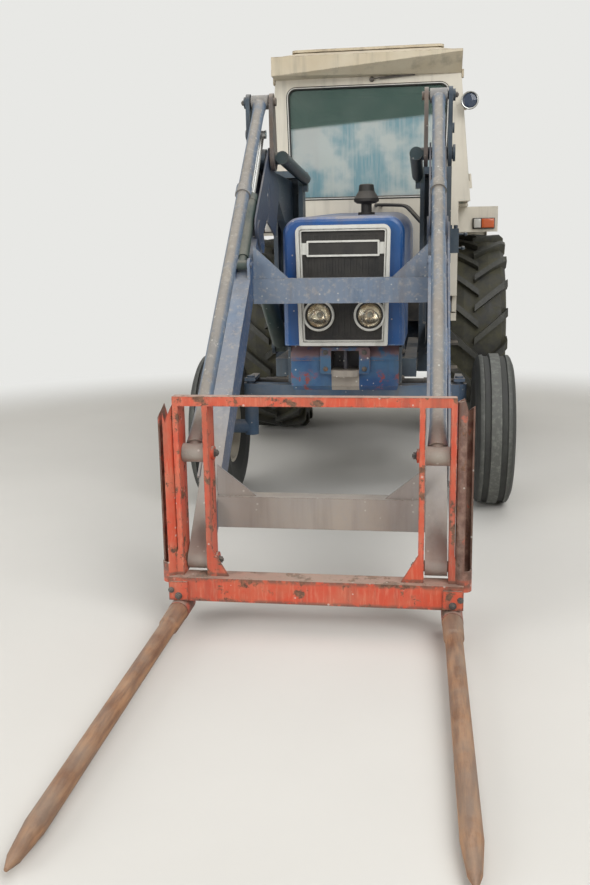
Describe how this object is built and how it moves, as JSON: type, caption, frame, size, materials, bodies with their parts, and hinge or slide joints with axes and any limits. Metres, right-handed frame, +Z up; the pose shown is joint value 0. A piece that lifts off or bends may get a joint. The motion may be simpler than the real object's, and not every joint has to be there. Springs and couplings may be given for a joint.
{
  "type": "farm tractor with front loader",
  "caption": "Farm tractor with an enclosed cab and a front loader carrying a bale fork with round tines, steered front wheels, lugged rear tyres and a rear linkage.",
  "frame": {"origin": "on the ground under the middle of the machine's bounding box", "axes": "+Z up, -Y forwards to the fork tines, +X to the machine's left side; the machine is longest along Y and narrowest along X"},
  "size_m": [1.9, 6.3172, 2.612],
  "materials": {
    "cast_blue": "oily painted casting",
    "blue_paint": "worn gloss",
    "light_blue_paint": "dusty and scratched",
    "tower_blue": "dusty dark blue",
    "cream_paint": "aged semi-gloss",
    "black_mesh": "matte black",
    "glass": "clear, slightly green",
    "lamp_glass": "fluted lens",
    "black_plastic": "dull black",
    "seat_cover": "black vinyl",
    "link_grey": "dusty, bare in places",
    "cylinder_green": "dark green paint",
    "rod_steel": "ground rod",
    "red_paint": "worn red over rust",
    "tine_steel": "rusty brown",
    "tyre": "dusty black",
    "dark_steel": "oily",
    "black_rubber": "dull black hose"
  },
  "bodies": {
    "chassis": {"engine": "cast_blue", "transmission": "cast_blue", "front_support": "blue_paint", "front_axle": "light_blue_paint", "hood": "blue_paint", "grille_surround": "cream_paint", "grille_mesh": "black_mesh", "air_precleaner": "black_plastic", "cab_end_walls": "cream_paint", "cab_sides": "cream_paint", "cab_roof": "cream_paint", "cab_glass": "glass", "fenders": "cream_paint", "cab_floor": "black_plastic", "seat": "seat_cover", "steering_column": "black_plastic", "lamps": "lamp_glass", "towers": "tower_blue", "hoses": "black_rubber", "rear_hitch": "dark_steel"},
    "loader_arms": {"booms": "light_blue_paint", "crossbeams": "light_blue_paint"},
    "rockers": {"rockers": "tower_blue"},
    "links": {"links": "link_grey"},
    "lift_barrels": {"lift_barrels": "cylinder_green"},
    "lift_rods": {"lift_rods": "rod_steel"},
    "tilt_barrels": {"tilt_barrels": "cylinder_green"},
    "tilt_rods": {"tilt_rods": "rod_steel"},
    "fork_carriage": {"carriage": "red_paint", "tines": "tine_steel"},
    "steer_knuckle_left": {"knuckle_left": "dark_steel"},
    "steer_knuckle_right": {"knuckle_right": "dark_steel"},
    "tie_rod": {"tie_rod": "dark_steel"},
    "front_wheel_left": {"front_rim_left": "cream_paint", "front_tyre_left": "tyre"},
    "front_wheel_right": {"front_rim_right": "cream_paint", "front_tyre_right": "tyre"},
    "rear_wheel_left": {"rear_rim_left": "cream_paint", "rear_tyre_left": "tyre"},
    "rear_wheel_right": {"rear_rim_right": "cream_paint", "rear_tyre_right": "tyre"},
    "door_left": {"door_left": "cream_paint", "door_glass_left": "glass"},
    "door_right": {"door_right": "cream_paint", "door_glass_right": "glass"}
  },
  "joints": [
    {"name": "boom_lift", "type": "hinge", "parent": "chassis", "child": "loader_arms", "pos_m": [0, -0.13242, 1.817], "axis": [-1, 0, 0], "range_deg": [0, 65]},
    {"name": "fork_tilt", "type": "hinge", "parent": "loader_arms", "child": "fork_carriage", "pos_m": [0, -1.66342, 0.235], "axis": [-1, 0, 0], "range_deg": [-30, 16]},
    {"name": "rocker_turn", "type": "hinge", "parent": "loader_arms", "child": "rockers", "pos_m": [0, -0.13242, 1.817], "axis": [-1, 0, 0], "range_deg": [-44.69, 24.07]},
    {"name": "link_turn", "type": "hinge", "parent": "rockers", "child": "links", "pos_m": [0, -0.16042, 2.081], "axis": [-1, 0, 0], "range_deg": [-24.55, 45.6]},
    {"name": "lift_barrel_turn", "type": "hinge", "parent": "chassis", "child": "lift_barrels", "pos_m": [0, 0.35658, 0.83], "axis": [-1, 0, 0], "range_deg": [0, 12.47]},
    {"name": "lift_rod_slide", "type": "slide", "parent": "lift_barrels", "child": "lift_rods", "axis": [0, -0.8166, 0.5772], "range_m": [0, 0.5071]},
    {"name": "tilt_barrel_turn", "type": "hinge", "parent": "loader_arms", "child": "tilt_barrels", "pos_m": [0, -0.72342, 1.3], "axis": [-1, 0, 0], "range_deg": [-3.11, 1.89]},
    {"name": "tilt_rod_slide", "type": "slide", "parent": "tilt_barrels", "child": "tilt_rods", "axis": [0, 0.6749, 0.7379], "range_m": [-0.0803, 0.0442]},
    {"name": "steer_left", "type": "hinge", "parent": "chassis", "child": "steer_knuckle_left", "pos_m": [0.57, 0.10658, 0.672], "axis": [0, 0, 1], "range_deg": [-38, 38]},
    {"name": "steer_right", "type": "hinge", "parent": "chassis", "child": "steer_knuckle_right", "pos_m": [-0.57, 0.10658, 0.672], "axis": [0, 0, 1], "range_deg": [-38.5, 38.5]},
    {"name": "tie_rod_turn", "type": "hinge", "parent": "steer_knuckle_left", "child": "tie_rod", "pos_m": [0.57, 0.27158, 0.642], "axis": [0, 0, 1], "range_deg": [-38.5, 38.5]},
    {"name": "front_wheel_left_spin", "type": "hinge", "parent": "steer_knuckle_left", "child": "front_wheel_left", "pos_m": [0.746, 0.10658, 0.405], "axis": [1, 0, 0], "continuous": true},
    {"name": "front_wheel_right_spin", "type": "hinge", "parent": "steer_knuckle_right", "child": "front_wheel_right", "pos_m": [-0.746, 0.10658, 0.405], "axis": [1, 0, 0], "continuous": true},
    {"name": "rear_wheel_left_spin", "type": "hinge", "parent": "chassis", "child": "rear_wheel_left", "pos_m": [0.735, 2.31658, 0.737], "axis": [1, 0, 0], "continuous": true},
    {"name": "rear_wheel_right_spin", "type": "hinge", "parent": "chassis", "child": "rear_wheel_right", "pos_m": [-0.735, 2.31658, 0.737], "axis": [1, 0, 0], "continuous": true},
    {"name": "door_left_swing", "type": "hinge", "parent": "chassis", "child": "door_left", "pos_m": [0.671, 1.32858, 1.665], "axis": [0.0925, 0, -0.9957], "range_deg": [0, 75]},
    {"name": "door_right_swing", "type": "hinge", "parent": "chassis", "child": "door_right", "pos_m": [-0.671, 1.32858, 1.665], "axis": [0.0925, 0, 0.9957], "range_deg": [0, 75]}
  ],
  "couplings": [
    {"joint": "lift_barrel_turn", "follows": "boom_lift", "ratio": 0.18415},
    {"joint": "lift_rod_slide", "follows": "boom_lift", "m_per_rad": 0.44437},
    {"joint": "rocker_turn", "follows": "fork_tilt", "ratio": 1.473},
    {"joint": "link_turn", "follows": "fork_tilt", "ratio": -1.5032},
    {"joint": "tilt_barrel_turn", "follows": "fork_tilt", "ratio": 0.08706},
    {"joint": "tilt_rod_slide", "follows": "fork_tilt", "m_per_rad": 0.14761},
    {"joint": "steer_right", "follows": "steer_left", "ratio": 1},
    {"joint": "tie_rod_turn", "follows": "steer_left", "ratio": -1}
  ]
}
